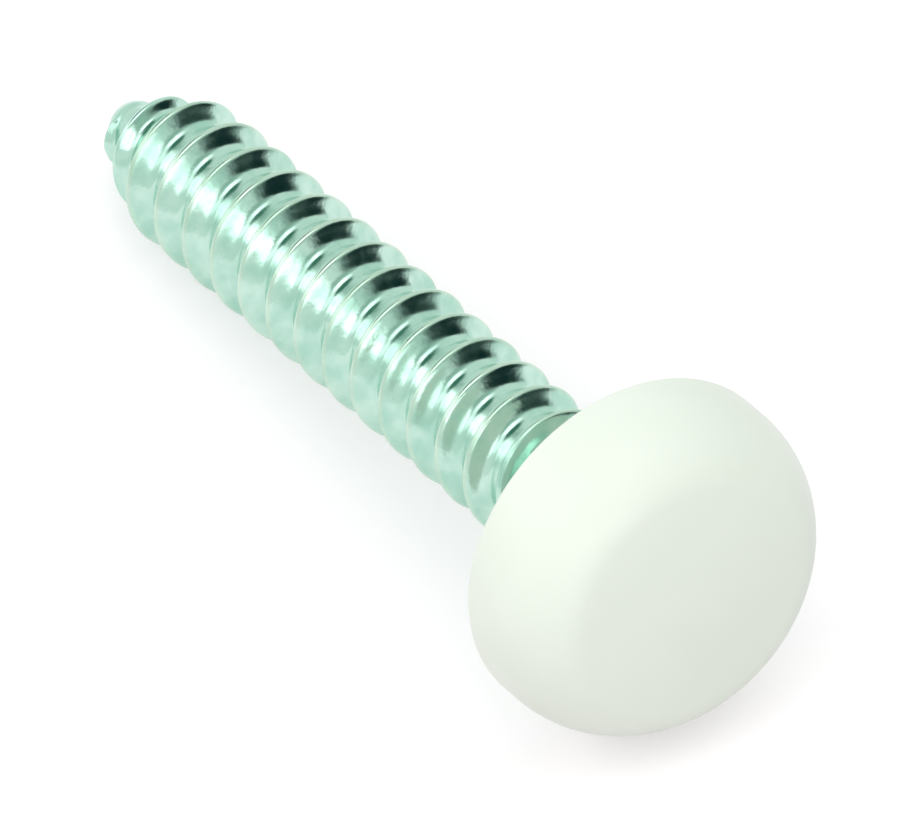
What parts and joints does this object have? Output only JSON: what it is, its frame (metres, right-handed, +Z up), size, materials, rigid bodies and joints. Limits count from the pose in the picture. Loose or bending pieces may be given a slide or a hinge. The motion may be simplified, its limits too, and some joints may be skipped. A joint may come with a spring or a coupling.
{
  "type": "carpet fastener screw",
  "caption": "Blunt-pointed tapping screw of zinc-plated steel with a smooth, round white plastic cap over its head, lying on its side.",
  "frame": {"origin": "centre of the footprint box of the lying screw, on the floor", "axes": "+X from the tip towards the head, level with the floor; +Z up. The screw's own axis lies in the XZ plane and climbs 7.89 degrees towards the head."},
  "size_m": [0.0286, 0.01, 0.0101],
  "materials": {
    "zinc_plated_steel": "bright zinc plating, pale blue-green tint",
    "white_plastic": "glossy white, moulded"
  },
  "bodies": {
    "root": {"screw": "zinc_plated_steel", "head_cap": "white_plastic"}
  },
  "joints": []
}
